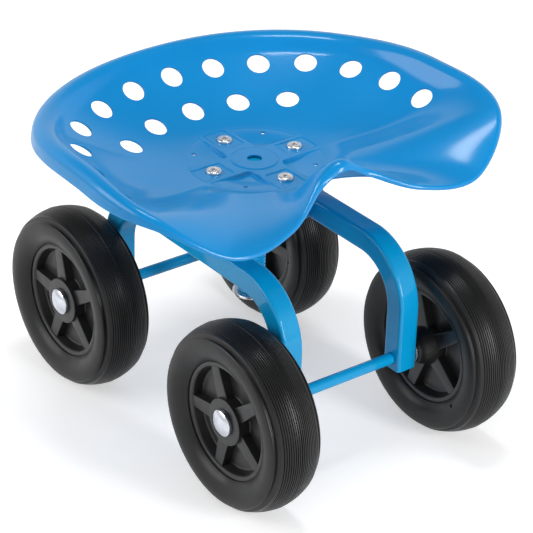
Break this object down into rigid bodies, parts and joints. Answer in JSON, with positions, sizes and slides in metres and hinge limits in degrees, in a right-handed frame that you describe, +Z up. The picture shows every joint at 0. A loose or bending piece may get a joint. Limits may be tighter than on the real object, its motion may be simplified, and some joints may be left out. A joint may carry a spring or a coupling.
{
  "type": "garden seat",
  "caption": "Rolling garden seat: pressed steel tractor seat on a height-adjusting screw, bent square-tube frame and ribbed plastic wheels",
  "frame": {"origin": "on the ground under the swivel axis, at the middle of the four wheels", "axes": "+X forward, the way the seat faces and the wheels roll; +Y left, along the axles; +Z up"},
  "size_m": [0.5032, 0.486, 0.3554],
  "materials": {
    "blue_powder_coat": "glossy powder coat",
    "zinc_plate": "bright zinc",
    "chrome_plate": "polished",
    "black_tyre": "satin moulded",
    "black_plastic": "satin moulded"
  },
  "bodies": {
    "frame": {"arch_left": "blue_powder_coat", "arch_right": "blue_powder_coat", "cross_tube_left": "blue_powder_coat", "cross_tube_right": "blue_powder_coat", "screw_socket": "blue_powder_coat", "axle_front": "blue_powder_coat", "axle_rear": "blue_powder_coat", "axle_washers": "zinc_plate", "axle_caps": "chrome_plate"},
    "wheel_front_left": {"tyre_front_left": "black_tyre", "hub_front_left": "black_plastic"},
    "wheel_front_right": {"tyre_front_right": "black_tyre", "hub_front_right": "black_plastic"},
    "wheel_rear_left": {"tyre_rear_left": "black_tyre", "hub_rear_left": "black_plastic"},
    "wheel_rear_right": {"tyre_rear_right": "black_tyre", "hub_rear_right": "black_plastic"},
    "screw_lift": {"stop_washer": "zinc_plate"},
    "seat": {"stop_bolt": "zinc_plate", "screw_post": "blue_powder_coat", "seat_plate": "blue_powder_coat", "seat_pan": "blue_powder_coat", "seat_bolts": "zinc_plate", "bolt_washers": "zinc_plate", "bolt_nuts": "zinc_plate"}
  },
  "joints": [
    {"name": "wheel_front_left_spin", "type": "hinge", "parent": "frame", "child": "wheel_front_left", "pos_m": [0.15, 0.1321, 0.1016], "axis": [0, 1, 0], "continuous": true},
    {"name": "wheel_front_right_spin", "type": "hinge", "parent": "frame", "child": "wheel_front_right", "pos_m": [0.15, -0.1321, 0.1016], "axis": [0, 1, 0], "continuous": true},
    {"name": "wheel_rear_left_spin", "type": "hinge", "parent": "frame", "child": "wheel_rear_left", "pos_m": [-0.15, 0.1321, 0.1016], "axis": [0, 1, 0], "continuous": true},
    {"name": "wheel_rear_right_spin", "type": "hinge", "parent": "frame", "child": "wheel_rear_right", "pos_m": [-0.15, -0.1321, 0.1016], "axis": [0, 1, 0], "continuous": true},
    {"name": "seat_lift", "type": "slide", "parent": "frame", "child": "screw_lift", "axis": [0, 0, 1], "range_m": [-0.0361, 0.0601]},
    {"name": "seat_turn", "type": "hinge", "parent": "screw_lift", "child": "seat", "pos_m": [-0.012, 0, 0.2], "axis": [0, 0, 1], "range_deg": [-3240, 5400]}
  ],
  "couplings": [
    {"joint": "seat_lift", "follows": "seat_turn", "m_per_rad": 0.00063662}
  ]
}
